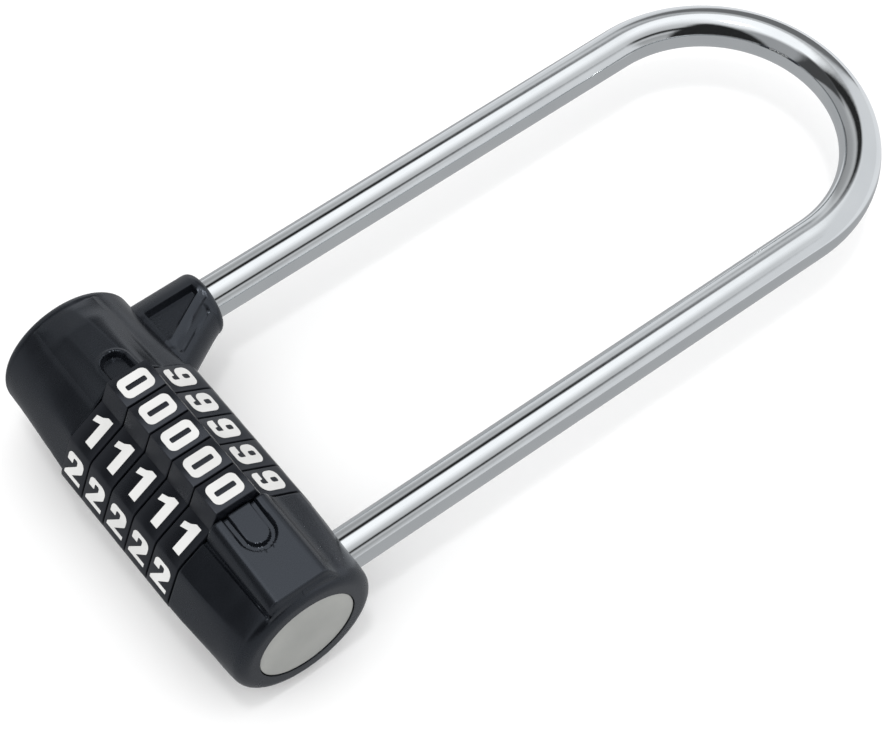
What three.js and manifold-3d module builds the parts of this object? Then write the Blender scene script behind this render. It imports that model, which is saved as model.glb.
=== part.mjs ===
// Five-dial combination padlock with a long shackle. Millimetres, +X along the barrel towards the silver end
// plate, +Y from the barrel to the bow of the shackle, +Z out of the row of zeros.
import * as THREE from 'three';
import { mergeVertices } from 'three/addons/utils/BufferGeometryUtils.js';
import Module from 'manifold-3d';

const wasm = await Module();
wasm.setup();

// shackle
const wireRadius = 4;
const legSpacing = 56;
const bowTop = 150;
const legFoot = -11.7;
const shackleLift = 28;
const legX = legSpacing / 2;
const bowY = bowTop - legX;

// dial stack
const dialCount = 5;
const dialPitch = 6.46;
const stackMiddle = 2;
const faceGap = 0.3;
const facetAngle = Math.PI / 5;
const ringApothem = 14.8;
const ringCorner = 15.4;
const ringBore = 10;
const tileTop = 18.7;
const tileTopHalf = 4;
const tileFootHalf = 5.4;
const sleeveRadius = 9.9;
const sleeveFlangeBore = 6.8;
const sleeveFlange = 1.6;
const sleeveHalf = 3;
const cavityApothem = 8.7;
const gateHalf = 1.9;

// core
const tubeOuter = 6.5;
const tubeBore = 5.2;
const tubeLeft = -22.8;
const tubeRight = 22.4;
const spindleThick = 3;
const spindleHeight = 8.4;
const spindleLeft = -12.4;
const noseTip = 26;
const noseHeight = 4;
const toothTop = 8.3;
const toothLength = 1.6;
const spindleTravel = 6;
const slotHalf = 1.75;

// housings
const barrelLeft = -36.1;
const barrelRight = 37.2;
const legBore = 4.2;
const neckTop = 25.45;
const neckRadius = 6.2;
const neckEdge = 1.5;
const pocketFloor = 5;
const plateRadius = 9.75;
const plateFace = 37.05;
const pinRadius = 1.25;
const retainerY = 19;
const retainerX = -legX - 3.3;

const stackLeft = stackMiddle - (dialCount * dialPitch) / 2;
const stackRight = stackMiddle + (dialCount * dialPitch) / 2;
const leftFace = stackLeft - faceGap / 2;
const rightFace = stackRight + faceGap / 2;

// ---- helpers ----

// closed solid from a three.js geometry
function solid(geometry) {
  const bare = geometry.clone();
  bare.deleteAttribute('normal');
  bare.deleteAttribute('uv');
  const merged = mergeVertices(bare, 1e-4);
  return new wasm.Manifold(new wasm.Mesh({
    numProp: 3,
    vertProperties: new Float32Array(merged.attributes.position.array),
    triVerts: new Uint32Array(merged.index.array),
  }));
}

function geometryOf(body) {
  const mesh = body.getMesh();
  const geometry = new THREE.BufferGeometry();
  geometry.setAttribute('position', new THREE.BufferAttribute(new Float32Array(mesh.vertProperties), 3));
  geometry.setIndex(new THREE.BufferAttribute(new Uint32Array(mesh.triVerts), 1));
  return geometry;
}

function union(...bodies) {
  return bodies.reduce((sum, body) => sum.add(body));
}

function cut(body, ...tools) {
  return tools.reduce((rest, tool) => rest.subtract(tool), body);
}

function box(x0, x1, y0, y1, z0, z1) {
  const geometry = new THREE.BoxGeometry(x1 - x0, y1 - y0, z1 - z0);
  geometry.translate((x0 + x1) / 2, (y0 + y1) / 2, (z0 + z1) / 2);
  return solid(geometry);
}

// round bars along each axis
function barX(radius, x0, x1, sides = 40) {
  const geometry = new THREE.CylinderGeometry(radius, radius, x1 - x0, sides);
  geometry.rotateZ(Math.PI / 2);
  geometry.translate((x0 + x1) / 2, 0, 0);
  return solid(geometry);
}

function barY(radius, x, y0, y1, sides = 32) {
  const geometry = new THREE.CylinderGeometry(radius, radius, y1 - y0, sides);
  geometry.translate(x, (y0 + y1) / 2, 0);
  return solid(geometry);
}

function barZ(radius, x, y, z0, z1, sides = 20) {
  const geometry = new THREE.CylinderGeometry(radius, radius, z1 - z0, sides);
  geometry.rotateX(Math.PI / 2);
  geometry.translate(x, y, (z0 + z1) / 2);
  return solid(geometry);
}

// flat outline in Y and Z pushed along X
function prismX(points, x0, x1) {
  const outline = new THREE.Shape(points.map(([y, z]) => new THREE.Vector2(y, z)));
  const geometry = new THREE.ExtrudeGeometry(outline, { depth: x1 - x0, bevelEnabled: false });
  const turn = new THREE.Matrix4().makeBasis(
    new THREE.Vector3(0, 1, 0), new THREE.Vector3(0, 0, 1), new THREE.Vector3(1, 0, 0));
  geometry.applyMatrix4(turn);
  geometry.translate(x0, 0, 0);
  return solid(geometry);
}

// flat outline in X and Y pushed along Z
function prismZ(points, z0, z1) {
  const outline = new THREE.Shape(points.map(([x, y]) => new THREE.Vector2(x, y)));
  const geometry = new THREE.ExtrudeGeometry(outline, { depth: z1 - z0, bevelEnabled: false });
  geometry.translate(0, 0, z0);
  return solid(geometry);
}

// closed skin over a row of rings that all have the same number of points
function skin(rings) {
  const count = rings[0].length;
  const positions = [];
  const faces = [];
  rings.forEach((ring) => ring.forEach((p) => positions.push(p.x, p.y, p.z)));
  for (let i = 0; i + 1 < rings.length; i += 1) {
    for (let k = 0; k < count; k += 1) {
      const a = i * count + k;
      const b = i * count + ((k + 1) % count);
      faces.push(a, b, b + count, a, b + count, a + count);
    }
  }
  [0, rings.length - 1].forEach((i, end) => {
    const middle = positions.length / 3;
    const centre = new THREE.Vector3();
    rings[i].forEach((p) => centre.add(p));
    centre.divideScalar(count);
    positions.push(centre.x, centre.y, centre.z);
    for (let k = 0; k < count; k += 1) {
      const a = i * count + k;
      const b = i * count + ((k + 1) % count);
      faces.push(...(end === 0 ? [middle, b, a] : [middle, a, b]));
    }
  });
  const geometry = new THREE.BufferGeometry();
  geometry.setAttribute('position', new THREE.Float32BufferAttribute(positions, 3));
  geometry.setIndex(signedVolume(positions, faces) < 0 ? faces.reverse() : faces);
  return solid(geometry);
}

function signedVolume(positions, faces) {
  const corner = (index) => new THREE.Vector3().fromArray(positions, index * 3);
  let volume = 0;
  for (let i = 0; i < faces.length; i += 3) {
    volume += corner(faces[i]).dot(corner(faces[i + 1]).cross(corner(faces[i + 2])));
  }
  return volume;
}

function material(colour, roughness, metalness) {
  return new THREE.MeshStandardMaterial({ color: colour, roughness, metalness });
}

const paint = () => material('#17181b', 0.42, 0.15);
const dialPaint = () => material('#1b1c1f', 0.5, 0.1);
const chrome = () => material('#c9cacf', 0.12, 1);
const satinSteel = () => material('#d3d4d1', 0.35, 0.9);
const plainSteel = () => material('#8d9096', 0.4, 0.9);
const brass = () => material('#b08d4a', 0.35, 0.9);

const group = new THREE.Group();
group.name = 'padlock';

function addPart(name, body, look) {
  const mesh = new THREE.Mesh(geometryOf(body), look);
  mesh.name = name;
  group.add(mesh);
}

// ---- outlines shared by the barrel parts ----

// ten flats round the barrel with softened corners; roundness 1 gives a plain circle
function facetRing(x, apothem, corner, roundness = 0, perFacet = 8) {
  const ring = [];
  for (let i = 0; i < perFacet * 10; i += 1) {
    const angle = (i / (perFacet * 10)) * Math.PI * 2;
    const off = ((angle + facetAngle / 2) % facetAngle) - facetAngle / 2;
    const flat = Math.min(apothem / Math.cos(off), corner);
    const radius = flat * (1 - roundness) + corner * roundness;
    ring.push(new THREE.Vector3(x, radius * Math.sin(-angle), radius * Math.cos(angle)));
  }
  return ring;
}

// raised strip that runs along a housing, in line with the row of zeros
function railRing(x, top, topHalf, footHalf, foot, side) {
  const shoulder = top - 0.5;
  const outline = [
    [-footHalf, foot], [-topHalf - 0.35, shoulder], [-topHalf + 0.4, top],
    [topHalf - 0.4, top], [topHalf + 0.35, shoulder], [footHalf, foot],
  ];
  return outline.map(([y, z]) => new THREE.Vector3(x, -y * side, z * side));
}

// barrel skin: stations of [x, apothem, corner radius, roundness]
function barrelSkin(stations) {
  return skin(stations.map(([x, apothem, corner, roundness]) => facetRing(x, apothem, corner, roundness)));
}

// rounded end edge as extra stations, from the full radius in to the flat end
function endStations(endX, direction, radius, edge, steps = 5) {
  const stations = [];
  for (let i = 0; i <= steps; i += 1) {
    const turn = (i / steps) * (Math.PI / 2);
    const x = endX - direction * edge * (1 - Math.sin(turn));
    const here = radius - edge * (1 - Math.cos(turn));
    stations.push([x, here, here, 1]);
  }
  return stations;
}

// ---- left housing ----

// stadium outline across the neck: round about the captive leg, and round again at its dial side
function neckRing(y, right, radius, halfSides = 14) {
  const ring = [];
  for (let i = 0; i <= halfSides * 2 + 1; i += 1) {
    const leftSide = i <= halfSides;
    const turn = Math.PI * ((leftSide ? i : i - 1) / halfSides - 0.5);
    const middle = leftSide ? -legX : right;
    ring.push(new THREE.Vector3(middle - radius * Math.cos(turn), y, radius * Math.sin(turn)));
  }
  return ring;
}

// boss that carries the captive leg, widening towards the dials at its foot
function neck() {
  const rings = [
    neckRing(6, -20.6, neckRadius),
    neckRing(11, -20.9, neckRadius),
    neckRing(16, -23.6, neckRadius),
    neckRing(19, -25.3, neckRadius),
    neckRing(22.2, -27.1, neckRadius),
  ];
  for (let i = 0; i <= 4; i += 1) {
    const turn = (i / 4) * (Math.PI / 2);
    const y = neckTop - neckEdge * (1 - Math.sin(turn));
    rings.push(neckRing(y, 0.05 - legX, neckRadius - neckEdge * (1 - Math.cos(turn))));
  }
  const triangle = [[-28.2, 13.8], [-22.3, 13.8], [-27.3, 23.1], [-28.2, 23.1]];
  return cut(skin(rings), prismZ(triangle, pocketFloor, 9), prismZ(triangle, -9, -pocketFloor));
}

function leftHousing() {
  const shell = barrelSkin([
    ...endStations(barrelLeft, -1, 13.3, 2.3).reverse(),
    [-31.3, 13.15, 13.65, 0.45],
    [-27.3, 13.4, 13.95, 0.25],
    [-23.5, 13.65, 14.2, 0.1],
    [-19.5, 13.85, 14.45, 0],
    [leftFace, 14.1, 14.75, 0],
  ]);
  const rail = skin([
    railRing(-33, 13.2, 3.2, 5.6, 11.4, 1),
    railRing(-29, 14.8, 3.6, 6.1, 11.7, 1),
    railRing(leftFace, 16.8, 3.9, 6.4, 12.6, 1),
  ]);
  const foot = skin([
    railRing(-33, 15.7, 3.4, 5.4, 12, -1),
    railRing(leftFace, 15.7, 3.4, 5.4, 12, -1),
  ]);
  const mark = union(
    box(-17.7, leftFace + 1, -2.9, 2.9, 15.5, 18),
    barZ(2.9, -17.7, 0, 15.5, 18, 28),
  );
  return cut(
    union(shell, rail, foot, neck()),
    barY(legBore, -legX, legFoot - 0.6, neckTop + 1),
    barX(tubeOuter + 0.05, tubeLeft - 0.1, leftFace + 1),
    box(leftFace - 4.8, leftFace + 1, -2.1, 2.1, -toothTop - 0.5, toothTop + 0.5),
    barZ(pinRadius + 0.03, -20.8, 0, -20, -5),
    barZ(pinRadius + 0.03, retainerX, retainerY, -8, 3.2),
    mark,
  );
}

// ---- right housing ----

function rightHousing() {
  const shell = barrelSkin([
    [rightFace, 14.7, 15.3, 0],
    [22, 14.6, 15.2, 0],
    [26, 14.35, 14.9, 0.15],
    [30.5, 14.05, 14.5, 0.45],
    ...endStations(barrelRight, 1, 14.1, 2.6),
  ]);
  const rail = skin([
    railRing(rightFace, 16.8, 3.9, 6.8, 12.6, 1),
    railRing(35.6, 15.35, 4.3, 6.8, 12.4, 1),
    railRing(36.3, 14.6, 4.1, 6.4, 12.2, 1),
  ]);
  const foot = skin([
    railRing(rightFace, 15.7, 3.4, 5.4, 12, -1),
    railRing(33.5, 15.7, 3.4, 5.4, 12, -1),
  ]);
  const groove = cut(
    union(box(rightFace - 1, 23.5, -3.3, 3.3, 15.5, 18), barZ(3.3, 23.5, 0, 15.5, 18, 28)),
    union(box(rightFace - 2, 23.4, -2.3, 2.3, 15, 19), barZ(2.3, 23.4, 0, 15, 19, 28)),
  );
  return cut(
    union(shell, rail, foot),
    barY(legBore, legX, legFoot - 0.6, 20),
    barX(tubeOuter + 0.05, rightFace - 1, tubeRight + 0.1),
    box(tubeRight - 1, legX - legBore + 0.6, -slotHalf, slotHalf, -noseHeight / 2 - 0.25, noseHeight / 2 + 0.25),
    barZ(pinRadius + 0.03, 20.4, 0, -20, -5),
    barX(plateRadius + 0.12, plateFace - 0.9, barrelRight + 1, 64),
    barX(3, 33.6, plateFace),
    groove,
  );
}

// ---- core tube with the parts fixed in it ----

function coreTube() {
  return cut(
    barX(tubeOuter, tubeLeft, tubeRight),
    barX(tubeBore, tubeLeft - 1, tubeRight + 1),
    box(-18.8, 16, -slotHalf, slotHalf, -8, 8),
    box(stackLeft + 0.6, stackRight - 0.6, -tubeOuter - 1, -5.95, -1.4, 1.4),
    barZ(pinRadius + 0.03, -20.8, 0, -8, -3),
    barZ(pinRadius + 0.03, 20.4, 0, -8, -3),
  );
}

// click strip: a thin bar in the groove of the tube with one bump under each dial
function detentStrip() {
  const strip = box(stackLeft + 0.8, stackRight - 0.8, -6.4, -6, -1.2, 1.2);
  const bumps = [];
  for (let i = 0; i < dialCount; i += 1) {
    const x = dialX(i) + 1;
    bumps.push(prismZ([[x - 1.1, -6.2], [x - 0.4, -8.2], [x + 0.4, -8.2], [x + 1.1, -6.2]], -0.8, 0.8));
  }
  return union(strip, ...bumps);
}

function springSeat() {
  return union(
    barX(tubeBore - 0.02, tubeLeft, tubeLeft + 0.8),
    barX(2.6, tubeLeft + 0.5, tubeLeft + 2.4, 24),
  );
}

// ---- spindle and its spring ----

function spindle() {
  const half = spindleThick / 2;
  const bar = box(spindleLeft, 17, -half, half, -spindleHeight / 2, spindleHeight / 2);
  const nose = prismZ(
    [[16, -half], [noseTip - 0.5, -half], [noseTip, -half + 0.5], [noseTip, half - 0.5], [noseTip - 0.5, half], [16, half]],
    -noseHeight / 2, noseHeight / 2);
  const teeth = [];
  for (let i = 0; i < dialCount; i += 1) {
    const x = dialX(i) - sleeveHalf + sleeveFlange + 0.2;
    teeth.push(box(x, x + toothLength, -half, half, -toothTop, toothTop));
  }
  return union(bar, nose, ...teeth);
}

// round wire wound along the X axis
function coilSpring(x0, x1, coilRadius, wire, turns, stepsPerTurn = 14, sides = 8) {
  const rings = [];
  const total = turns * stepsPerTurn;
  for (let i = 0; i <= total; i += 1) {
    const angle = (i / stepsPerTurn) * Math.PI * 2;
    const x = x0 + wire + (x1 - x0 - 2 * wire) * (i / total);
    const out = new THREE.Vector3(0, Math.cos(angle), Math.sin(angle));
    const ring = [];
    for (let k = 0; k < sides; k += 1) {
      const turn = (k / sides) * Math.PI * 2;
      const point = out.clone().multiplyScalar(coilRadius + wire * Math.cos(turn));
      point.x = x + wire * Math.sin(turn);
      ring.push(point);
    }
    rings.push(ring);
  }
  return skin(rings);
}

// ---- shackle ----

function shackle() {
  const path = [];
  const chamfer = 0.9;
  const bowSteps = 36;
  path.push([-legX, legFoot, 0, 1, wireRadius - chamfer]);
  path.push([-legX, legFoot + chamfer, 0, 1, wireRadius]);
  for (let i = 0; i <= bowSteps; i += 1) {
    const angle = Math.PI - (i / bowSteps) * Math.PI;
    const side = [legX * Math.cos(angle), bowY + legX * Math.sin(angle)];
    path.push([...side, Math.sin(angle), -Math.cos(angle), wireRadius]);
  }
  path.push([legX, legFoot + chamfer, 0, -1, wireRadius]);
  path.push([legX, legFoot, 0, -1, wireRadius - chamfer]);
  const sides = 28;
  const rings = path.map(([x, y, alongX, alongY, radius]) => {
    const ring = [];
    for (let k = 0; k < sides; k += 1) {
      const turn = ((k + 0.5) / sides) * Math.PI * 2;
      const across = radius * Math.cos(turn);
      ring.push(new THREE.Vector3(x - alongY * across, y + alongX * across, radius * Math.sin(turn)));
    }
    return ring;
  });
  const notch = prismZ(
    [[legX - 5, -14], [legX - 3.97, -11.9], [legX - 1.8, -1.75], [legX - 1.8, 1.9], [legX - 5, 1.9]],
    -2.4, 2.4);
  const flat = box(-legX - 5, retainerX + pinRadius + 0.15, retainerY - pinRadius - shackleLift - 0.15,
    retainerY + pinRadius + 0.3, -5, 5);
  return cut(skin(rings), notch, flat);
}

// ---- dials ----

function dialX(index) {
  return stackMiddle + (index - (dialCount - 1) / 2) * dialPitch;
}

// ring with nine flat number facets and one raised tile for the zero
function dialRing(index) {
  const half = (dialPitch - faceGap) / 2;
  const x = dialX(index);
  const outline = facetRing(0, ringApothem, ringCorner, 0, 6).map((p) => [p.y, p.z]);
  const tile = [
    [tileFootHalf, 13], [tileFootHalf, 14.5], [tileTopHalf, tileTop - 0.3], [tileTopHalf - 0.3, tileTop],
    [-tileTopHalf + 0.3, tileTop], [-tileTopHalf, tileTop - 0.3], [-tileFootHalf, 14.5], [-tileFootHalf, 13],
  ];
  return cut(
    union(prismX(outline, x - half, x + half), prismX(tile, x - half, x + half)),
    barX(ringBore, x - 5, x + 5),
  );
}

// code sleeve: a flange with two opposite gates, and a ten-sided cavity for the tooth and the click bump
function codeSleeve(index) {
  const x = dialX(index);
  const cavity = facetRing(0, cavityApothem, cavityApothem / Math.cos(facetAngle / 2), 0, 2).map((p) => [p.y, p.z]);
  return cut(
    barX(sleeveRadius, x - sleeveHalf, x + sleeveHalf),
    barX(sleeveFlangeBore, x - 5, x + 5),
    prismX(cavity, x - sleeveHalf + sleeveFlange, x + sleeveHalf + 1),
    box(x - 5, x, -gateHalf, gateHalf, -toothTop - 0.35, toothTop + 0.35),
  );
}

// ---- assembly ----

addPart('left_housing', leftHousing(), paint());
addPart('right_housing', rightHousing(), paint());
addPart('core_tube', coreTube(), plainSteel());
addPart('spring_seat', springSeat(), plainSteel());
addPart('detent_strip', detentStrip(), plainSteel());
addPart('left_tube_pin', barZ(pinRadius, -20.8, 0, -15.6, -5.4), plainSteel());
addPart('right_tube_pin', barZ(pinRadius, 20.4, 0, -15.6, -5.4), plainSteel());
addPart('shackle_pin', barZ(pinRadius, retainerX, retainerY, -5.8, 3), plainSteel());
addPart('end_plate', union(
  barX(plateRadius, plateFace - 0.85, plateFace, 64),
  barX(2.9, 33.8, plateFace - 0.5),
), satinSteel());
addPart('spindle', spindle(), plainSteel());
addPart('spindle_spring', coilSpring(tubeLeft + 0.95, spindleLeft - 0.1, 3.4, 0.35, 5), plainSteel());
addPart('shackle', shackle(), chrome());
for (let i = 0; i < dialCount; i += 1) {
  addPart(`dial_ring_${i + 1}`, dialRing(i), dialPaint());
  addPart(`code_sleeve_${i + 1}`, codeSleeve(i), brass());
}

// origin at the middle of the underside
const bounds = new THREE.Box3().setFromObject(group);
const middle = bounds.getCenter(new THREE.Vector3());
group.children.forEach((mesh) => mesh.geometry.translate(-middle.x, -middle.y, -bounds.min.z));

export default group;
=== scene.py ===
import bpy, bmesh, math
from mathutils import Euler, Matrix, Vector


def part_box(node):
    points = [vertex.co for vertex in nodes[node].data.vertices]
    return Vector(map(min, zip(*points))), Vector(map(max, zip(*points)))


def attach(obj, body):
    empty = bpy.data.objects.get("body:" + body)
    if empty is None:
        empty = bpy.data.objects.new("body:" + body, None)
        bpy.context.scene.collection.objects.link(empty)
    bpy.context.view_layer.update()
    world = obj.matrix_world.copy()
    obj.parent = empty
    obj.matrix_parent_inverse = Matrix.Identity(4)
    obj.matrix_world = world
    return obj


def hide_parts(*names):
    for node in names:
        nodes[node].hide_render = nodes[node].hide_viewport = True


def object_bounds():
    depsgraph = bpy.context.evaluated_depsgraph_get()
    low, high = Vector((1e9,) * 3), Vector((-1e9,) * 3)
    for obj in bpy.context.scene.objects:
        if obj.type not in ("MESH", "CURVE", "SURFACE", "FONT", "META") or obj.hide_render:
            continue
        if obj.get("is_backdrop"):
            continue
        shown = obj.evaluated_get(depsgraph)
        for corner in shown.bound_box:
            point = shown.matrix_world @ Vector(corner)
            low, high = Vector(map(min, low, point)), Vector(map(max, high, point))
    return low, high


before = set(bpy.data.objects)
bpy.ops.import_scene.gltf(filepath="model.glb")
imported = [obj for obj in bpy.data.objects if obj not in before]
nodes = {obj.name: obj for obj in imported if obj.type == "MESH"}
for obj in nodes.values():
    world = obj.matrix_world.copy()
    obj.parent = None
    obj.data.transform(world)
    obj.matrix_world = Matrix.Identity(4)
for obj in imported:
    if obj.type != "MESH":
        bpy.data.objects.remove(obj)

scene = bpy.context.scene
cadLow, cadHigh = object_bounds()
mm = 0.001

# lock space: millimetres, x from the middle between the legs, y and z from the barrel's axis
shackleLow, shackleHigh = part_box("shackle")
tubeLow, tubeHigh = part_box("core_tube")
axisPoint = Vector(((shackleLow.x + shackleHigh.x) / 2, (tubeLow.y + tubeHigh.y) / 2, (tubeLow.z + tubeHigh.z) / 2))
toFrame = Matrix.Translation(axisPoint) @ Matrix.Scale(mm, 4)


def lockBox(node):
    low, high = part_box(node)
    return (low - axisPoint) / mm, (high - axisPoint) / mm


print("frame loaded, barrel axis at", [round(v / mm, 2) for v in axisPoint])

camera = {
    "place": (0.20937602, -0.18618254, 0.43059957),
    "turn": (32.1971842, -1.23946972, 52.02428755),
    "lens": 111.184,
}
camData = bpy.data.cameras.new("camera")
camData.lens = camera["lens"]
camData.sensor_width = 36
camObject = bpy.data.objects.new("camera", camData)
camObject.location = camera["place"]
camObject.rotation_euler = Euler([math.radians(v) for v in camera["turn"]], "XYZ")
scene.collection.objects.link(camObject)
scene.camera = camObject
scene.view_settings.view_transform = "Standard"

studio = {
    "roomLight": 1.24,
    "sunLight": 0.34,
    "sunFrom": (0.06, -0.10, 0.99),
    "sunSoftness": 7,
    "floorShade": 0.96,
    # the floor's brightness as glossy rays see it, zone by zone: a painted reflection, not the floor's lit colour
    "floorInGloss": 0.41,
    "floorNearBarrel": 0.30,
    "floorBeyondBow": 0.78,
}
# what the gloss sees from side to side over the lock: degrees from straight up, then brightness
glossBands = [
    (-180, 0.42), (-105, 0.42), (-88, 0.30), (-62, 0.36), (-48.5, 0.50), (-44, 0.30), (-40, 0.02), (-29.5, 0.02),
    (-21.5, 1.08), (0, 1.1), (14, 0.90), (27, 0.62), (41, 0.50), (45, 0.04), (51, 0.04), (58, 0.58), (68, 0.36),
    (92, 0.46), (180, 0.40),
]

# fields laid over those bands; each edge is soft between its two limits, and limits swapped turn it round
glossFields = [
    {"brightness": 0.70, "where": [("ahead", 0.20, 0.32)]},  # wall behind the bow
    {"brightness": 0.16, "where": [("ahead", 0.26, 0.36), ("ahead", 1.3, 1.05), ("side", -0.2, -0.27),
                                   ("side", -0.7, -0.52)]},  # dark doorway in it
    {"brightness": 0.34, "where": [("ahead", -0.16, -0.34)]},  # wall in front of the barrel
    {"brightness": 0.06, "where": [("ahead", -0.14, -0.26), ("side", -0.5, -0.43), ("side", -0.1, -0.19)]},
    {"brightness": 0.02, "where": [("ahead", -0.02, -0.12), ("side", 0.16, 0.26), ("away", 1.0, 0.9)]},
    {"brightness": 0.04, "where": [("side", -0.84, -0.9), ("ahead", 0.1, 0.02), ("away", 0.9, 0.96)]},
]


def node(tree, kind, place=(0, 0), **settings):
    made = tree.nodes.new(kind)
    made.location = place
    for key, value in settings.items():
        setattr(made, key, value)
    return made


def mathNode(tree, operation, a, b=None, c=None, clamp=False):
    made = node(tree, "ShaderNodeMath", operation=operation, use_clamp=clamp)
    for socket, value in zip(made.inputs, (a, b, c)):
        if value is None:
            continue
        if isinstance(value, (int, float)):
            socket.default_value = value
        else:
            tree.links.new(value, socket)
    return made.outputs[0]


def colourRamp(tree, factor, stops):
    made = node(tree, "ShaderNodeValToRGB")
    ramp = made.color_ramp
    ramp.elements.remove(ramp.elements[1])
    for index, (position, colour) in enumerate(stops):
        stop = ramp.elements[0] if index == 0 else ramp.elements.new(position)
        stop.position = position
        stop.color = (*colour, 1)
    tree.links.new(factor, made.inputs[0])
    return made.outputs[0]


def smoothStep(tree, value, low, high):
    step = node(tree, "ShaderNodeMapRange", interpolation_type="SMOOTHSTEP")
    tree.links.new(value, step.inputs["Value"])
    step.inputs["From Min"].default_value = low
    step.inputs["From Max"].default_value = high
    return step.outputs[0]


def blendTo(tree, below, mask, brightness):
    mix = node(tree, "ShaderNodeMix", data_type="RGBA")
    tree.links.new(mask, mix.inputs["Factor"])
    tree.links.new(below, mix.inputs["A"])
    mix.inputs["B"].default_value = (brightness, brightness * 1.015, brightness * 1.04, 1)
    return mix.outputs["Result"]


def makeRoom():
    world = bpy.data.worlds.new("softRoom")
    scene.world = world
    world.use_nodes = True
    tree = world.node_tree
    tree.nodes.clear()
    direction = node(tree, "ShaderNodeTexCoord").outputs["Generated"]
    split = node(tree, "ShaderNodeSeparateXYZ")
    tree.links.new(direction, split.inputs[0])
    x, y, z = split.outputs
    across = mathNode(tree, "MULTIPLY_ADD", mathNode(tree, "ARCTAN2", x, z), 1 / (2 * math.pi), 0.5)
    seen = colourRamp(tree, across, [
        ((degrees + 180) / 360, (value, value * 1.01, value * 1.025)) for degrees, value in glossBands
    ])
    # flattened view of the sky: straight up is 0, the horizon is 1
    flatten = mathNode(tree, "ADD", z, 1.0001)
    side = mathNode(tree, "DIVIDE", x, flatten)
    ahead = mathNode(tree, "DIVIDE", y, flatten)
    away = mathNode(tree, "SQRT", mathNode(tree, "ADD", mathNode(tree, "MULTIPLY", side, side),
                                           mathNode(tree, "MULTIPLY", ahead, ahead)))
    for part in glossFields:
        mask = None
        for source, low, high in part["where"]:
            edge = smoothStep(tree, {"side": side, "ahead": ahead, "away": away}[source], low, high)
            mask = edge if mask is None else mathNode(tree, "MULTIPLY", mask, edge)
        seen = blendTo(tree, seen, mask, part["brightness"])
    inGloss = node(tree, "ShaderNodeBackground")
    tree.links.new(seen, inGloss.inputs["Color"])
    plain = node(tree, "ShaderNodeBackground")
    plain.inputs["Color"].default_value = (1, 1, 1, 1)
    plain.inputs["Strength"].default_value = studio["roomLight"]
    path = node(tree, "ShaderNodeLightPath")
    pick = node(tree, "ShaderNodeMixShader")
    tree.links.new(path.outputs["Is Glossy Ray"], pick.inputs[0])
    tree.links.new(plain.outputs[0], pick.inputs[1])
    tree.links.new(inGloss.outputs[0], pick.inputs[2])
    out = node(tree, "ShaderNodeOutputWorld")
    tree.links.new(pick.outputs[0], out.inputs[0])


def makeSun():
    sun = bpy.data.lights.new("ceilingLamp", "SUN")
    sun.energy = studio["sunLight"]
    sun.angle = math.radians(studio["sunSoftness"])
    lamp = bpy.data.objects.new("ceilingLamp", sun)
    lamp.rotation_euler = Vector(studio["sunFrom"]).to_track_quat("Z", "Y").to_euler()
    scene.collection.objects.link(lamp)


def makeFloor():
    bm = bmesh.new()
    bmesh.ops.create_grid(bm, x_segments=8, y_segments=8, size=3)
    mesh = bpy.data.meshes.new("floor")
    bm.to_mesh(mesh)
    bm.free()
    floor = bpy.data.objects.new("floor", mesh)
    floor.location.z = cadLow.z - 0.0001
    scene.collection.objects.link(floor)
    material = bpy.data.materials.new("paleFloor")
    material.use_nodes = True
    tree = material.node_tree
    tree.nodes.clear()
    light = node(tree, "ShaderNodeBsdfDiffuse")
    light.inputs["Color"].default_value = (studio["floorShade"],) * 3 + (1,)
    # glossy rays see this emission instead of the lit floor: a painted reflection, set zone by zone from
    # floorNearBarrel through floorInGloss to floorBeyondBow
    dim = node(tree, "ShaderNodeEmission")
    where = node(tree, "ShaderNodeSeparateXYZ")
    tree.links.new(node(tree, "ShaderNodeTexCoord").outputs["Object"], where.inputs[0])
    behind = smoothStep(tree, where.outputs["Y"], -0.075, -0.045)
    beyond = smoothStep(tree, mathNode(tree, "MULTIPLY_ADD", where.outputs["X"], -0.25, where.outputs["Y"]), 0.078, 0.093)
    shade = studio["floorNearBarrel"]
    start = node(tree, "ShaderNodeRGB")
    start.outputs[0].default_value = (shade, shade * 1.02, shade * 1.05, 1)
    near = blendTo(tree, start.outputs[0], behind, studio["floorInGloss"])
    tree.links.new(blendTo(tree, near, beyond, studio["floorBeyondBow"]), dim.inputs["Color"])
    path = node(tree, "ShaderNodeLightPath")
    pick = node(tree, "ShaderNodeMixShader")
    tree.links.new(path.outputs["Is Glossy Ray"], pick.inputs[0])
    tree.links.new(light.outputs[0], pick.inputs[1])
    tree.links.new(dim.outputs[0], pick.inputs[2])
    out = node(tree, "ShaderNodeOutputMaterial")
    tree.links.new(pick.outputs[0], out.inputs[0])
    mesh.materials.append(material)
    floor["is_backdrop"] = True


makeRoom()
makeSun()
makeFloor()
print("camera, room light and floor made")

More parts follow.
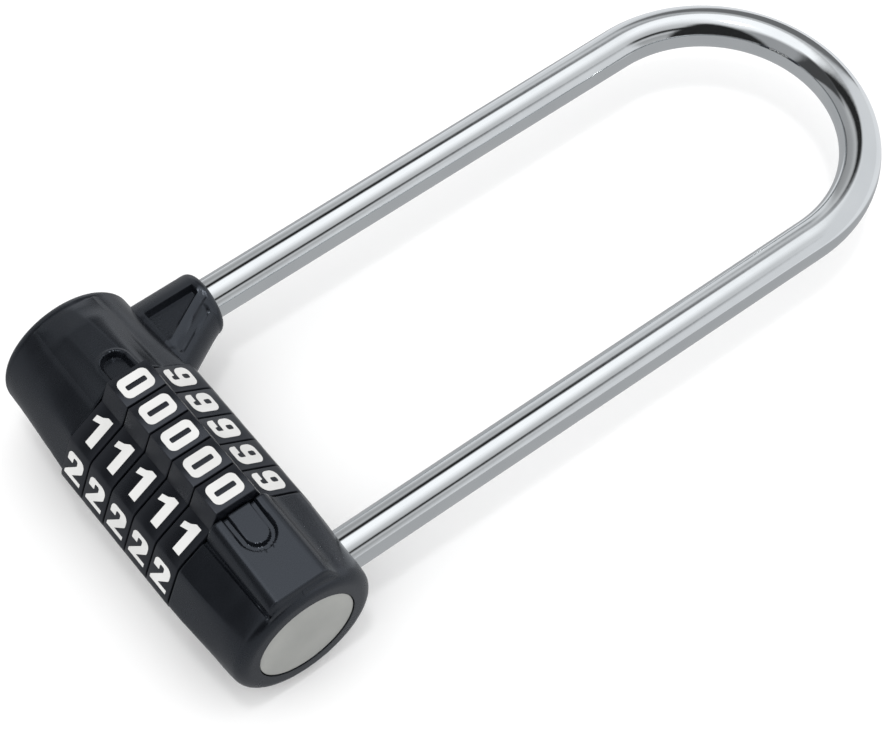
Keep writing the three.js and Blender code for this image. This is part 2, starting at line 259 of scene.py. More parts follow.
finishes = {
    # shade, shade where it is thinner, roughness low and high, metal, grain per mm, bump height in mm
    "blackPaint": {"shade": (0.0028, 0.0033, 0.0047), "other": (0.0048, 0.0056, 0.0074), "rough": (0.22, 0.31),
                   "metal": 0, "grain": 3.2, "bump": 0.012, "specular": 0.86, "tint": (0.79, 0.87, 1.0)},
    "blackDial": {"shade": (0.0026, 0.0031, 0.0046), "other": (0.0050, 0.0056, 0.0076), "rough": (0.24, 0.34),
                  "metal": 0, "grain": 3.8, "bump": 0.010, "specular": 0.78, "tint": (0.82, 0.88, 1.0)},
    "whiteInk": {"shade": (0.70, 0.70, 0.69), "other": (0.58, 0.58, 0.57), "rough": (0.45, 0.6),
                 "metal": 0, "grain": 5, "bump": 0.006},
    "chromePlate": {"shade": (0.865, 0.89, 0.90), "other": (0.81, 0.835, 0.85), "rough": (0.035, 0.09),
                    "metal": 1, "grain": 0.35, "bump": 0.010},
    "paleSteel": {"shade": (0.43, 0.435, 0.415), "other": (0.36, 0.365, 0.35), "rough": (0.34, 0.46),
                  "metal": 0.35, "grain": 2.2, "bump": 0.004},
    "plainSteel": {"shade": (0.42, 0.43, 0.45), "other": (0.33, 0.34, 0.36), "rough": (0.28, 0.42),
                   "metal": 1, "grain": 1.6, "bump": 0.006},
    "turnedBrass": {"shade": (0.66, 0.50, 0.24), "other": (0.52, 0.38, 0.17), "rough": (0.25, 0.4),
                    "metal": 1, "grain": 1.8, "bump": 0.006},
}


def noiseNode(tree, where, perMm, detail=3.0, stretch=(1, 1, 1)):
    mapping = node(tree, "ShaderNodeMapping")
    mapping.inputs["Scale"].default_value = [perMm / mm * s for s in stretch]
    tree.links.new(where, mapping.inputs["Vector"])
    noise = node(tree, "ShaderNodeTexNoise")
    noise.inputs["Scale"].default_value = 1.0
    noise.inputs["Detail"].default_value = detail
    tree.links.new(mapping.outputs[0], noise.inputs["Vector"])
    return noise.outputs["Fac"]


def makeFinish(name):
    look = finishes[name]
    material = bpy.data.materials.new(name)
    material.use_nodes = True
    tree = material.node_tree
    shader = tree.nodes["Principled BSDF"]
    where = node(tree, "ShaderNodeTexCoord").outputs["Object"]
    broad = noiseNode(tree, where, 0.11, 2)
    fine = noiseNode(tree, where, look["grain"], 3)
    patches = mathNode(tree, "MULTIPLY_ADD", broad, 1.9, -0.45, clamp=True)
    mix = node(tree, "ShaderNodeMix", data_type="RGBA")
    tree.links.new(patches, mix.inputs["Factor"])
    mix.inputs["A"].default_value = (*look["shade"], 1)
    mix.inputs["B"].default_value = (*look["other"], 1)
    tree.links.new(mix.outputs["Result"], shader.inputs["Base Color"])
    low, high = look["rough"]
    rubbed = mathNode(tree, "MULTIPLY", patches, 0.6)
    rubbed = mathNode(tree, "MULTIPLY_ADD", fine, 0.4, rubbed)
    tree.links.new(mathNode(tree, "MULTIPLY_ADD", rubbed, high - low, low), shader.inputs["Roughness"])
    shader.inputs["Metallic"].default_value = look["metal"]
    shader.inputs["Specular IOR Level"].default_value = look.get("specular", 0.5)
    shader.inputs["Specular Tint"].default_value = (*look.get("tint", (1, 1, 1)), 1)
    height = fine
    if name == "chromePlate":  # faint draw lines along the rod over the slow waves of the plating
        lines = noiseNode(tree, where, 1.0, 2, (9, 0.06, 9))
        height = mathNode(tree, "MULTIPLY_ADD", lines, 0.12, fine)
    bump = node(tree, "ShaderNodeBump")
    bump.inputs["Distance"].default_value = look["bump"] * mm
    bump.inputs["Strength"].default_value = 1.0
    tree.links.new(height, bump.inputs["Height"])
    tree.links.new(bump.outputs[0], shader.inputs["Normal"])
    return material


made = {name: makeFinish(name) for name in finishes}
print("finishes made:", ", ".join(made))


def ramp(x, stops):
    # straight line through (place, value) stops
    if x <= stops[0][0]:
        return stops[0][1]
    for (x0, v0), (x1, v1) in zip(stops, stops[1:]):
        if x <= x1:
            return v0 + (v1 - v0) * (x - x0) / (x1 - x0)
    return stops[-1][1]


def ease(low, high, x):
    t = min(1, max(0, (x - low) / (high - low)))
    return t * t * (3 - 2 * t)


def softMin(a, b, blend):
    h = min(1, max(0, 0.5 + 0.5 * (b - a) / blend))
    return b + (a - b) * h - blend * h * (1 - h)


def softMax(a, b, blend):
    return -softMin(-a, -b, blend)


def decagon(angle, flat, corner, roundness=0):
    # ten flats with softened corners, the first one square to +z
    part = math.radians(36)
    off = (angle + part / 2) % part - part / 2
    edge = softMin(flat / math.cos(off), corner, 0.25)
    return edge * (1 - roundness) + corner * roundness


def strip(angle, top, topHalf, foot, footZ, blend):
    # raised strip with sloping sides, as a distance from the axis
    c, s = math.cos(angle), abs(math.sin(angle))
    if c < 0.25:
        return 0
    run, drop = foot - topHalf, top - footZ
    size = math.hypot(run, drop)
    reach = (drop * foot + run * footZ) / size
    side = reach / (c * run / size + s * drop / size)
    return min(softMin(top / c, side, blend), (foot + 0.05) / max(s, 0.01))


def spokes(step, keys, spread=1.6, fineStep=0.4):
    # angles round the barrel, denser at the edges that run along it
    found = [math.radians(k * step) for k in range(round(360 / step))]
    for key in keys:
        count = round(spread / fineStep)
        found += [math.radians((key + i * fineStep) % 360) for i in range(-count, count + 1)]
    found.sort()
    kept = [found[0]]
    for angle in found[1:]:
        if angle - kept[-1] > math.radians(0.18):
            kept.append(angle)
    return kept


def barrel(angles, stations, radiusAt, caps=True, bore=None):
    # a ring drawn out along x, station by station, then every point set at its distance from the axis
    bm = bmesh.new()
    bmesh.ops.create_circle(bm, segments=len(angles), radius=1)
    bmesh.ops.rotate(bm, verts=bm.verts, matrix=Matrix.Rotation(math.radians(90), 3, "Y"))
    first = sorted(bm.verts, key=lambda v: math.atan2(-v.co.y, v.co.z) % (2 * math.pi))
    for vert, angle in zip(first, angles):
        vert.co = (stations[0][0], -math.sin(angle), math.cos(angle))
    startEdges = bm.edges[:]
    insets = bm.verts.layers.float.new("inset")
    for vert in bm.verts:
        vert[insets] = stations[0][1]
    edges = startEdges
    for (x0, _), (x1, inset) in zip(stations, stations[1:]):
        grown = bmesh.ops.extrude_edge_only(bm, edges=edges)["geom"]
        ring = [g for g in grown if isinstance(g, bmesh.types.BMVert)]
        edges = [g for g in grown if isinstance(g, bmesh.types.BMEdge) and all(v in ring for v in g.verts)]
        bmesh.ops.translate(bm, verts=ring, vec=(x1 - x0, 0, 0))
        for vert in ring:
            vert[insets] = inset
    for vert in bm.verts:
        angle = math.atan2(-vert.co.y, vert.co.z)
        inset = vert[insets]
        radius = bore if inset < 0 else radiusAt(vert.co.x, angle) - inset
        vert.co.y = -radius * math.sin(angle)
        vert.co.z = radius * math.cos(angle)
    if caps:
        bmesh.ops.edgeloop_fill(bm, edges=startEdges)
        bmesh.ops.edgeloop_fill(bm, edges=edges)
    else:
        bmesh.ops.bridge_loops(bm, edges=startEdges + edges)
    bm.verts.layers.float.remove(insets)
    bmesh.ops.recalc_face_normals(bm, faces=bm.faces)
    return bm


def rod(axis, radius, low, high, centre=(0, 0, 0), segments=56):
    # round cutter along one axis
    bm = bmesh.new()
    bmesh.ops.create_cone(bm, cap_ends=True, segments=segments, radius1=radius, radius2=radius, depth=high - low)
    if axis == "X":
        bmesh.ops.rotate(bm, verts=bm.verts, matrix=Matrix.Rotation(math.radians(90), 3, "Y"))
    if axis == "Y":
        bmesh.ops.rotate(bm, verts=bm.verts, matrix=Matrix.Rotation(math.radians(-90), 3, "X"))
    middle = Vector(centre)
    middle["XYZ".index(axis)] = (low + high) / 2
    bmesh.ops.translate(bm, verts=bm.verts, vec=middle)
    return bm


def block(low, high):
    bm = bmesh.new()
    bmesh.ops.create_cube(bm, size=1)
    size = [b - a for a, b in zip(low, high)]
    bmesh.ops.scale(bm, verts=bm.verts, vec=size)
    bmesh.ops.translate(bm, verts=bm.verts, vec=[(a + b) / 2 for a, b in zip(low, high)])
    return bm


def asObject(name, bm):
    mesh = bpy.data.meshes.new(name)
    bm.to_mesh(mesh)
    bm.free()
    made = bpy.data.objects.new(name, mesh)
    scene.collection.objects.link(made)
    return made


def join(piece, cutters, operation="DIFFERENCE"):
    # boolean with each helper in turn, then only the result is kept
    helpers = [asObject("helper", bm) for bm in cutters]
    for helper in helpers:
        step = piece.modifiers.new("step", "BOOLEAN")
        step.operation = operation
        step.solver = "EXACT"
        step.object = helper
    bpy.context.view_layer.update()
    result = bpy.data.meshes.new_from_object(piece.evaluated_get(bpy.context.evaluated_depsgraph_get()))
    piece.modifiers.clear()
    piece.data = result
    for helper in helpers:
        bpy.data.objects.remove(helper)
    return piece


def finishPiece(piece, body, finish, replaced=(), sharp=32):
    piece.data.transform(toFrame)
    piece.data.materials.clear()
    piece.data.materials.append(made[finish])
    piece.data.shade_smooth()
    piece.data.set_sharp_from_angle(angle=math.radians(sharp))
    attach(piece, body)
    if replaced:
        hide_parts(*replaced)
    print("piece", piece.name, "with", len(piece.data.polygons), "faces")


def steps(low, high, size):
    count = max(1, round((high - low) / size))
    return [low + (high - low) * i / count for i in range(count + 1)]


edgeRounding = [(0, 0.22), (0.04, 0.12), (0.11, 0.04), (0.22, 0)]

rightHousing = {
    "body": [(18.3, 14.70, 15.30, 0), (22, 14.60, 15.20, 0), (26, 14.35, 14.90, 0.15), (30.5, 14.05, 14.5, 0.45),
             (34.6, 14.10, 14.10, 1)],
    "endRadius": 14.1, "endRounding": 2.6,
    "panelTop": [(18.3, 16.8), (35.5, 15.35), (35.9, 15.15), (36.5, 13.0)],
    "panelHalf": [(18.3, 5.5), (35.6, 5.8)],
    "panelFoot": 6.8, "panelFootZ": 12.6, "panelBlend": 2.2,
    "seamAngle": 28, "seamDepth": 0.5, "endSeam": 36.02, "endSeamDepth": 0.38,
    "markEnd": 23.55, "markPath": 2.85, "markWidth": 0.62, "markDepth": 0.8,
    "backTop": 15.7, "backEnd": 33.5,
}


def fourStops(x, stops):
    return [ramp(x, [(s[0], s[i]) for s in stops]) for i in (1, 2, 3)]


def endLimit(x, end, radius, rounding, side):
    # how far out the skin may be as it turns in to the flat end
    past = side * (x - end) + rounding
    if past <= 0:
        return 99
    past = min(past, rounding)
    return radius - rounding + math.sqrt(max(0, rounding ** 2 - past ** 2))


def rightSkin(x, angle):
    part = rightHousing
    flat, corner, roundness = fourStops(x, part["body"])
    skin = decagon(angle, flat, corner, roundness)
    skin = softMin(skin, endLimit(x, rightEnd, part["endRadius"], part["endRounding"], 1), 0.12)
    towardsLegs = math.sin(angle) < 0
    front = strip(angle, ramp(x, part["panelTop"]), ramp(x, part["panelHalf"]), part["panelFoot"],
                  part["panelFootZ"], part["panelBlend"])
    if x < 36.45:
        skin = softMax(skin, front, 1.5 if towardsLegs else 0.12)
    if x < part["backEnd"]:
        skin = softMax(skin, strip(angle + math.pi, part["backTop"], 3.4, 5.4, 12, 0.3), 0.3)
    seamOff = abs(math.degrees(angle) - part["seamAngle"]) * 0.25
    skin -= part["seamDepth"] * ease(0.62, 0.08, seamOff) * ease(36.4, 36, x)
    if abs(math.degrees(angle)) < part["seamAngle"]:
        skin -= part["endSeamDepth"] * ease(0.3, 0.03, abs(x - part["endSeam"]))
    across = skin * math.sin(angle)
    if math.cos(angle) > 0.9:
        along = max(0, x - part["markEnd"])
        off = abs(math.hypot(along, across) - part["markPath"])
        skin -= part["markDepth"] * ease(part["markWidth"] + 0.12, part["markWidth"] - 0.25, off) / math.cos(angle)
    return skin


rightLow, rightHigh = lockBox("right_housing")
rightEnd = rightHigh.x
cornerAngles = [18, 54, 90, 126, 162, 198, 234, 270, 306, 342]
angles = spokes(3, cornerAngles + [28, 13.5, -13.5, 25, -25, 167, 193, 156, 204], 1.6, 0.5)
angles = sorted(set(angles + [math.radians(k * 0.5 % 360) for k in range(-28, 29)]))
angles = [a for i, a in enumerate(angles) if i == 0 or a - angles[i - 1] > math.radians(0.15)]
stations = [(rightLow.x + x, inset) for x, inset in edgeRounding]
stations += [(x, 0) for x in steps(rightLow.x + 0.5, 27.2, 0.22)]
stations += [(x, 0) for x in steps(27.9, 34.4, 0.8)]
rounding = rightHousing["endRounding"]
stations += [(rightEnd - rounding * (1 - math.sin(math.radians(t))), 0) for t in range(0, 91, 6)]
stations += [(x, 0) for x in (35.5, 35.72, 35.84, 35.95, 36.02, 36.1, 36.2, 36.35, 36.47)]
stations = sorted(set(stations))
piece = asObject("right_shell", barrel(angles, stations, rightSkin))
bore = 4.2
legs = (shackleHigh.x - shackleLow.x) / mm / 2 - 3.97
plateLow, plateHigh = lockBox("end_plate")
join(piece, [
    rod("Y", bore, -12.3, 20, (28, 0, 0)),
    rod("X", 6.55, 17, 22.5),
    block((21.4, -1.75, -2.25), (24.4, 1.75, 2.25)),
    rod("Z", 1.28, -20, -5, (20.4, 0, 0), 24),
    rod("X", 9.87, plateHigh.x - 0.9, rightEnd + 1, segments=96),
    rod("X", 3, 33.6, plateHigh.x),
])
finishPiece(piece, "body", "blackPaint", ["right_housing"], 28)

leftHousing = {
    "body": [(-33.8, 13.15, 13.15, 1), (-31.3, 13.05, 13.30, 0.7), (-27.3, 13.25, 13.55, 0.6),
             (-23.5, 13.50, 13.90, 0.4), (-19.5, 13.75, 14.25, 0.2), (-14.4, 14.10, 14.75, 0)],
    "endRadius": 13.3, "endRounding": 2.3,
    "stripTop": [(-34, 12.0), (-33, 13.2), (-29, 14.8), (-14.4, 16.8)],
    "stripHalf": [(-33, 3.2), (-14.4, 3.9)],
    "stripFoot": [(-33, 5.6), (-29, 6.1), (-14.4, 6.4)],
    "stripFootZ": [(-33, 11.4), (-29, 11.7), (-14.4, 12.6)],
    "markEnd": -17.7, "markHalf": 2.3, "markDepth": 1.3, "lip": 0.2,
    "backTop": 15.7, "backEnd": -33,
}


def leftSkin(x, angle):
    part = leftHousing
    flat, corner, roundness = fourStops(x, part["body"])
    skin = decagon(angle, flat, corner, roundness)
    skin = softMin(skin, endLimit(x, leftEnd, part["endRadius"], part["endRounding"], -1), 0.12)
    if x > -33.9:
        front = strip(angle, ramp(x, part["stripTop"]), ramp(x, part["stripHalf"]), ramp(x, part["stripFoot"]),
                      ramp(x, part["stripFootZ"]), 2.0)
        skin = softMax(skin, front, 1.8)
    if x > part["backEnd"]:
        skin = softMax(skin, strip(angle + math.pi, part["backTop"], 3.4, 5.4, 12, 0.3), 0.3)
    if math.cos(angle) > 0.9:
        along = max(0, part["markEnd"] - x)
        off = math.hypot(along, skin * math.sin(angle)) - part["markHalf"]
        skin -= part["markDepth"] * ease(0.16, -0.18, off) / math.cos(angle)
        skin += part["lip"] * ease(0.15, 0.35, off) * ease(1.0, 0.65, off)
    return skin


neck = {
    "top": 25.45, "rounding": 1.5, "radius": 6.2, "legX": -28,
    "dialSide": [(6, -20.6), (11, -20.9), (13, -21.9), (16, -23.6), (19, -25.3), (22.2, -27.1), (23.9, -27.95)],
    "pocket": [(-29.1, 13.0), (-21.8, 13.0), (-27.4, 23.4), (-29.0, 23.4)], "pocketDepth": 1.5,
    "ribLine": [(-26.3, 23.3), (-20.8, 13.6)], "ribRise": 0.34,
    "grooveLine": [(-23.7, 22.5), (-19.6, 14.2)], "grooveDepth": 0.6,
}


def lineOff(point, line):
    # distance from a short straight line, measured to its nearest point
    a, b = Vector(line[0]), Vector(line[1])
    part = max(0, min(1, (point - a).dot(b - a) / (b - a).length_squared))
    return (point - a - (b - a) * part).length


def pocketInside(point):
    corners = [Vector(c) for c in neck["pocket"]]
    nearest = 99
    for a, b in zip(corners, corners[1:] + corners[:1]):
        side = (b - a).normalized()
        nearest = min(nearest, side.x * (point.y - a.y) - side.y * (point.x - a.x))
    return nearest


def neckBody():
    around = 144  # a quarter each for the leg side, the front, the dial side and the back
    quarter = around // 4
    bm = bmesh.new()
    bmesh.ops.create_circle(bm, segments=around, radius=1)
    bmesh.ops.rotate(bm, verts=bm.verts, matrix=Matrix.Rotation(math.radians(90), 3, "X"))
    top, rounding = neck["top"], neck["rounding"]
    heights = steps(6, 12.8, 0.85) + steps(13, top - rounding, 0.2)
    heights += [top - rounding * (1 - math.sin(math.radians(t))) for t in range(10, 91, 10)]
    bmesh.ops.translate(bm, verts=bm.verts, vec=(0, heights[0], 0))
    startEdges = bm.edges[:]
    edges = startEdges
    for y0, y1 in zip(heights, heights[1:]):
        grown = bmesh.ops.extrude_edge_only(bm, edges=edges)["geom"]
        ring = [g for g in grown if isinstance(g, bmesh.types.BMVert)]
        edges = [g for g in grown if isinstance(g, bmesh.types.BMEdge) and all(v in ring for v in g.verts)]
        bmesh.ops.translate(bm, verts=ring, vec=(0, y1 - y0, 0))
    for vert in bm.verts:
        y = vert.co.y
        k = round(math.atan2(vert.co.z, -vert.co.x) / (2 * math.pi) * around) % around
        radius = neck["radius"]
        past = max(0, y - (top - rounding))
        radius -= rounding - math.sqrt(max(0, rounding ** 2 - past ** 2))
        left, right = neck["legX"], ramp(y, neck["dialSide"])
        k = (k + quarter // 2) % around
        part = (k % quarter) / quarter
        if k < quarter:  # round the leg, from the back to the front
            turn = math.pi * (part - 0.5)
            x, z = left - radius * math.cos(turn), radius * math.sin(turn)
        elif k < 2 * quarter:
            x, z = left + (right - left) * part, radius
        elif k < 3 * quarter:
            turn = math.pi * (0.5 - part)
            x, z = right + radius * math.cos(turn), radius * math.sin(turn)
        else:
            x, z = right + (left - right) * part, -radius
        if abs(z) > 1.5:
            point = Vector((x, y))
            relief = neck["pocketDepth"] * ease(-0.05, 0.45, pocketInside(point))
            relief -= neck["ribRise"] * ease(1.25, 0.6, lineOff(point, neck["ribLine"]))
            relief += neck["grooveDepth"] * ease(0.95, 0.15, lineOff(point, neck["grooveLine"]))
            z -= math.copysign(relief, z)
        vert.co.x, vert.co.z = x, z
    bmesh.ops.edgeloop_fill(bm, edges=startEdges)
    bmesh.ops.edgeloop_fill(bm, edges=edges)
    bmesh.ops.recalc_face_normals(bm, faces=bm.faces)
    return bm


leftLow, leftHigh = lockBox("left_housing")
leftEnd = leftLow.x
angles = spokes(3, cornerAngles + [13.5, -13.5, 25, -25, 167, 193, 156, 204], 1.6, 0.5)
angles = sorted(set(angles + [math.radians(k * 0.6 % 360) for k in range(-26, 27)]))
angles = [a for i, a in enumerate(angles) if i == 0 or a - angles[i - 1] > math.radians(0.15)]
rounding = leftHousing["endRounding"]
stations = [(leftHigh.x - x, inset) for x, inset in edgeRounding]
stations += [(x, 0) for x in steps(-21.7, leftHigh.x - 0.5, 0.22)]
stations += [(x, 0) for x in steps(-33.7, -22.3, 0.8)]
stations += [(leftEnd + rounding * (1 - math.sin(math.radians(t))), 0) for t in range(0, 91, 6)]
stations = sorted(set(stations))
piece = asObject("left_shell", barrel(angles, stations, leftSkin))
join(piece, [neckBody()], "UNION")
join(piece, [
    rod("Y", bore, -12.3, 27, (-28, 0, 0)),
    rod("X", 6.55, -22.9, -13),
    block((-19.25, -2.1, -8.8), (-13, 2.1, 8.8)),
    rod("Z", 1.28, -20, -5, (-20.8, 0, 0), 24),
    rod("Z", 1.28, -8, 3.2, (-31.3, 19, 0), 24),
])
finishPiece(piece, "body", "blackPaint", ["left_housing"], 28)

shackle = {"wire": 3.97, "chamfer": 0.9, "segments": 64, "bowSteps": 84}


def shackleRod():
    low, high = lockBox("shackle")
    legX, foot, bowTop = 28, low.y, high.y - shackle["wire"]
    bowY = bowTop - legX
    wire, chamfer = shackle["wire"], shackle["chamfer"]
    bm = bmesh.new()
    bmesh.ops.create_circle(bm, cap_ends=True, segments=shackle["segments"], radius=wire - chamfer)
    bmesh.ops.rotate(bm, verts=bm.verts, matrix=Matrix.Rotation(math.radians(90), 3, "X"))
    bmesh.ops.translate(bm, verts=bm.verts, vec=(-legX, foot, 0))
    ring = bm.edges[:]

    def draw(edges, step, grow=1):
        grown = bmesh.ops.extrude_edge_only(bm, edges=edges)["geom"]
        verts = [g for g in grown if isinstance(g, bmesh.types.BMVert)]
        bmesh.ops.translate(bm, verts=verts, vec=step)
        if grow != 1:
            middle = sum((v.co for v in verts), Vector()) / len(verts)
            bmesh.ops.scale(bm, verts=verts, vec=(grow,) * 3, space=Matrix.Translation(-middle))
        return [g for g in grown if isinstance(g, bmesh.types.BMEdge) and all(v in verts for v in g.verts)]

    ring = draw(ring, (0, chamfer, 0), wire / (wire - chamfer))
    for _ in range(8):
        ring = draw(ring, (0, (bowY - foot - chamfer) / 8, 0))
    verts = list({v for e in ring for v in e.verts})
    bow = bmesh.ops.spin(bm, geom=ring + verts, cent=(0, bowY, 0), axis=(0, 0, -1), angle=math.pi,
                         steps=shackle["bowSteps"], use_merge=False)
    ring = [g for g in bow["geom_last"] if isinstance(g, bmesh.types.BMEdge)]
    for _ in range(8):
        ring = draw(ring, (0, -(bowY - foot - chamfer) / 8, 0))
    ring = draw(ring, (0, -chamfer, 0), (wire - chamfer) / wire)
    bmesh.ops.edgeloop_fill(bm, edges=ring)
    bmesh.ops.recalc_face_normals(bm, faces=bm.faces)
    return bm


def notchCutter():
    bm = bmesh.new()
    outline = [(23, -14), (24.03, -11.9), (26.2, -1.75), (26.2, 1.9), (23, 1.9)]
    verts = [bm.verts.new((x, y, -2.4)) for x, y in outline]
    face = bm.faces.new(verts)
    grown = bmesh.ops.extrude_face_region(bm, geom=[face])["geom"]
    bmesh.ops.translate(bm, verts=[g for g in grown if isinstance(g, bmesh.types.BMVert)], vec=(0, 0, 4.8))
    bmesh.ops.recalc_face_normals(bm, faces=bm.faces)
    return bm


piece = asObject("shackle_rod", shackleRod())
join(piece, [notchCutter(), block((-33, -10.4, -5), (-29.9, 20.55, 5))])
finishPiece(piece, "shackle", "chromePlate", ["shackle"], 30)

endPlate = {"radius": 9.75, "thick": 0.85, "edge": 0.3, "stem": 2.9}


def plateDisc():
    part = endPlate
    face, back = plateHigh.x, plateHigh.x - part["thick"]
    bm = bmesh.new()
    outline = [(plateLow.x, 0), (plateLow.x, part["stem"]), (back, part["stem"]), (back, part["radius"]),
               (face - part["edge"], part["radius"]), (face - 0.06, part["radius"] - 0.1),
               (face, part["radius"] - part["edge"] * 1.4), (face, part["radius"] * 0.5), (face, 0)]
    verts = [bm.verts.new((x, 0, z)) for x, z in outline]
    edges = [bm.edges.new(pair) for pair in zip(verts, verts[1:])]
    bmesh.ops.spin(bm, geom=verts + edges, cent=(0, 0, 0), axis=(1, 0, 0), angle=2 * math.pi, steps=96, use_merge=True)
    bmesh.ops.remove_doubles(bm, verts=bm.verts, dist=0.001)
    bmesh.ops.recalc_face_normals(bm, faces=bm.faces)
    return bm


finishPiece(asObject("silver_disc", plateDisc()), "body", "paleSteel", ["end_plate"], 30)

dial = {
    "flat": 14.78, "corner": 15.38, "bore": 10,
    "tileTop": 18.62, "tileHalf": 3.98, "tileFoot": 5.4, "tileFootZ": 14.5,
}


def dialSkin(x, angle):
    body = decagon(angle, dial["flat"], dial["corner"])
    tile = strip(angle, dial["tileTop"], dial["tileHalf"], dial["tileFoot"], dial["tileFootZ"], 0.12)
    return softMax(body, tile, 0.12)


# outlines of the numbers in mm, each corner with its rounding; the first loop is the outside
numbers = {
    0: [[(-2.15, 2.95, 1.25), (2.15, 2.95, 1.25), (2.15, -3.1, 1.25), (-2.15, -3.1, 1.25)],
        [(-0.5, 2.0, 0.3), (0.58, 2.0, 0.3), (0.58, -2.05, 0.3), (-0.5, -2.05, 0.3)]],
    1: [[(1.65, 2.95, 0.05), (0.35, 2.95, 0.5), (-0.6, 2.2, 0.5), (-1.85, 1.75, 0.08), (-1.85, 0.5, 0.05),
         (-0.15, 1.1, 0.05), (-0.15, -3.05, 0.05), (1.65, -3.05, 0.05)]],
    2: [[(-2.2, 2.9, 1.5), (2.15, 2.9, 1.5), (2.15, 0.3, 0.9), (-0.25, -2.15, 0.05), (2.2, -2.15, 0.05),
         (2.2, -3.05, 0.05), (-2.25, -3.05, 0.05), (-2.25, -2.3, 0.3), (0.45, 0.8, 0.6), (0.45, 1.95, 0.4),
         (-0.75, 1.95, 0.4), (-0.75, 0.55, 0.08), (-2.2, 0.55, 0.08)]],
    3: [[(-2.15, 2.95, 1.3), (2.1, 2.95, 1.3), (2.1, 0.35, 0.5), (1.7, 0.05, 0.08), (2.1, -0.25, 0.5),
         (2.1, -3.0, 1.4), (-2.15, -3.0, 1.4), (-2.15, -1.0, 0.08), (-0.6, -1.0, 0.08), (-0.6, -2.05, 0.3),
         (0.5, -2.05, 0.3), (0.5, -0.45, 0.3), (-0.5, -0.45, 0.05), (-0.5, 0.5, 0.05), (0.5, 0.5, 0.3),
         (0.5, 2.0, 0.3), (-0.6, 2.0, 0.3), (-0.6, 1.1, 0.08), (-2.15, 1.1, 0.08)]],
    4: [[(0.1, 2.95, 0.05), (1.5, 2.95, 0.05), (1.5, -0.75, 0.05), (2.25, -0.75, 0.05), (2.25, -1.75, 0.05),
         (1.5, -1.75, 0.05), (1.5, -3.05, 0.05), (0.05, -3.05, 0.05), (0.05, -1.75, 0.05), (-2.25, -1.75, 0.05),
         (-2.25, -0.8, 0.05)],
        [(0.05, 1.1, 0.05), (0.05, -0.75, 0.05), (-1.05, -0.75, 0.05)]],
    5: [[(-2.0, 2.95, 0.05), (1.9, 2.95, 0.05), (1.9, 1.95, 0.05), (-0.6, 1.95, 0.05), (-0.6, 0.85, 0.05),
         (2.1, 0.85, 1.3), (2.1, -3.05, 1.4), (-2.15, -3.05, 1.4), (-2.15, -1.2, 0.08), (-0.6, -1.2, 0.08),
         (-0.6, -2.1, 0.3), (0.5, -2.1, 0.3), (0.5, -0.15, 0.3), (-0.6, -0.15, 0.15), (-0.75, -0.4, 0.08),
         (-2.0, -0.4, 0.05)]],
    7: [[(-2.1, 2.95, 0.05), (2.1, 2.95, 0.05), (2.1, 1.95, 0.4), (0.35, -3.05, 0.05), (-1.3, -3.05, 0.05),
         (0.45, 1.9, 0.08), (-2.1, 1.9, 0.05)]],
    8: [[(-2.1, 2.95, 1.3), (2.1, 2.95, 1.3), (2.1, 0.4, 0.5), (1.75, 0.05, 0.08), (2.15, -0.3, 0.5),
         (2.15, -3.05, 1.4), (-2.15, -3.05, 1.4), (-2.15, -0.3, 0.5), (-1.75, 0.05, 0.08), (-2.1, 0.4, 0.5)],
        [(-0.55, 2.1, 0.3), (0.55, 2.1, 0.3), (0.55, 0.6, 0.3), (-0.55, 0.6, 0.3)],
        [(-0.55, -0.45, 0.3), (0.55, -0.45, 0.3), (0.55, -2.15, 0.3), (-0.55, -2.15, 0.3)]],
    9: [[(-2.2, 2.95, 1.35), (2.1, 2.95, 1.35), (2.1, -2.95, 1.6), (-2.15, -2.95, 1.4), (-2.2, -1.2, 0.12),
         (-0.6, -1.2, 0.1), (-0.5, -1.95, 0.3), (0.42, -1.95, 0.4), (0.42, -0.5, 0.05), (-2.2, -0.5, 1.3)],
        [(-0.68, 2.15, 0.4), (0.42, 2.15, 0.4), (0.42, 0.6, 0.4), (-0.68, 0.6, 0.4)]],
}
numbers[6] = [[(-x, -y, r) for x, y, r in loop] for loop in numbers[9]]
inkHeight = 0.06


def roundedLoop(corners):
    # the outline's corners turned into short arcs
    points = []
    for i, (x, y, radius) in enumerate(corners):
        here = Vector((x, y))
        before = Vector(corners[i - 1][:2]) - here
        after = Vector(corners[(i + 1) % len(corners)][:2]) - here
        half = before.angle(after) / 2
        reach = min(radius / math.tan(half), before.length * 0.49, after.length * 0.49)
        for j in range(9):
            t = j / 8
            a, b = here + before.normalized() * reach, here + after.normalized() * reach
            w = 2 * t * (1 - t) * math.sin(half)
            total = (1 - t) ** 2 + w + t ** 2
            points.append((a * (1 - t) ** 2 + here * w + b * t ** 2) / total)
    return points


def numberMesh(digit):
    curve = bpy.data.curves.new("number", "CURVE")
    curve.dimensions = "2D"
    curve.fill_mode = "BOTH"
    curve.extrude = inkHeight / 2
    for loop in numbers[digit]:
        spline = curve.splines.new("POLY")
        points = roundedLoop(loop)
        spline.points.add(len(points) - 1)
        for place, point in zip(spline.points, points):
            place.co = (point.x, point.y, 0, 1)
        spline.use_cyclic_u = True
    holder = bpy.data.objects.new("number", curve)
    scene.collection.objects.link(holder)
    bpy.context.view_layer.update()
    mesh = bpy.data.meshes.new_from_object(holder.evaluated_get(bpy.context.evaluated_depsgraph_get()))
    bpy.data.objects.remove(holder)
    return mesh


numberMeshes = {digit: numberMesh(digit) for digit in range(10)}


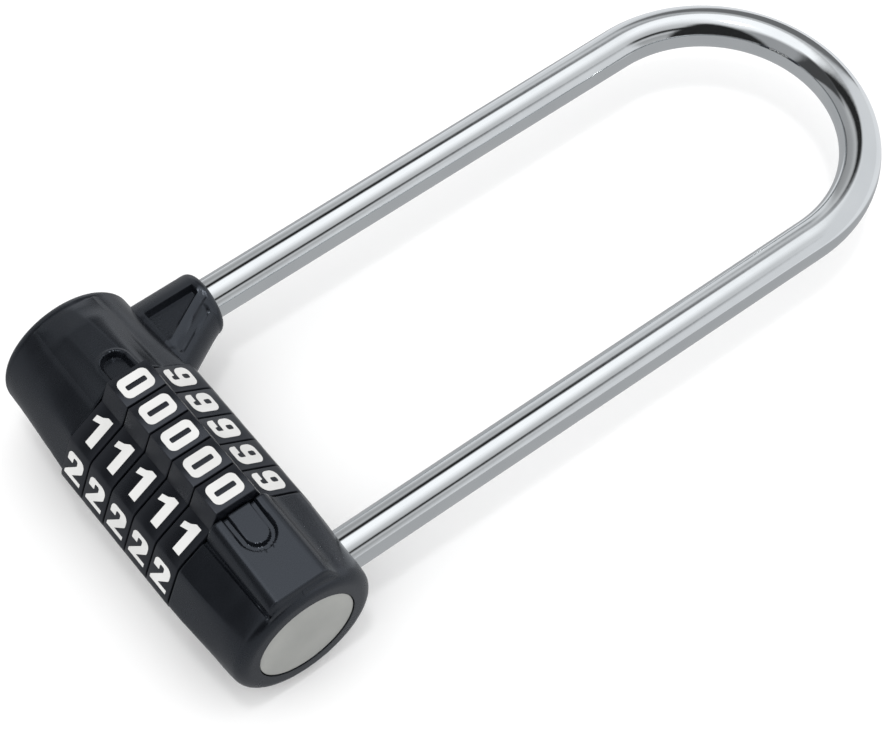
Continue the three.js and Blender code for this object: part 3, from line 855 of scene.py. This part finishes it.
def printNumbers(index, middleX):
    # all ten numbers of one ring as one piece
    bm = bmesh.new()
    for digit, mesh in numberMeshes.items():
        before = len(bm.verts)
        bm.from_mesh(mesh)
        bm.verts.ensure_lookup_table()
        verts = bm.verts[before:]
        angle = math.radians(36 * digit)
        lift = (dial["tileTop"] if digit == 0 else dial["flat"]) + inkHeight / 2 - 0.02
        right = Vector((1, 0, 0))
        up = Vector((0, math.cos(angle), math.sin(angle)))
        out = Vector((0, -math.sin(angle), math.cos(angle)))
        turn = Matrix((right, up, out)).transposed()
        bmesh.ops.transform(bm, verts=verts, matrix=Matrix.Translation(out * lift + right * middleX) @ turn.to_4x4())
    bmesh.ops.remove_doubles(bm, verts=bm.verts, dist=0.0005)
    bmesh.ops.recalc_face_normals(bm, faces=bm.faces)
    piece = asObject(f"numbers_{index}", bm)
    finishPiece(piece, f"dial_{index}", "whiteInk", (), 30)


tileEdge = math.degrees(math.atan2(dial["tileHalf"], dial["tileTop"]))
tileFoot = math.degrees(math.atan2(dial["tileFoot"] - 0.25, dial["tileFootZ"] + 0.2))
dialAngles = spokes(6, cornerAngles + [tileEdge, -tileEdge, tileFoot, -tileFoot], 1.6, 0.4)
for index in range(1, 6):
    low, high = lockBox(f"dial_ring_{index}")
    half, middle = (high.x - low.x) / 2, (high.x + low.x) / 2
    stations = [(middle - half, -1)] + [(middle - half + x, inset) for x, inset in edgeRounding]
    stations += [(middle, 0)]
    stations += [(middle + half - x, inset) for x, inset in reversed(edgeRounding)] + [(middle + half, -1)]
    ring = barrel(dialAngles, stations, dialSkin, caps=False, bore=dial["bore"])
    finishPiece(asObject(f"ring_{index}", ring), f"dial_{index}", "blackDial",
                [f"dial_ring_{index}"], 24)
    printNumbers(index, middle)
for mesh in numberMeshes.values():
    bpy.data.meshes.remove(mesh)

inside = {
    "plainSteel": ["core_tube", "spring_seat", "detent_strip", "left_tube_pin", "right_tube_pin", "shackle_pin",
                   "spindle", "spindle_spring"],
    "turnedBrass": [f"code_sleeve_{index}" for index in range(1, 6)],
}
for finish, names in inside.items():
    for name in names:
        nodes[name].data.materials.clear()
        nodes[name].data.materials.append(made[finish])
print("inner pieces given their finish")

low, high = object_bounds()
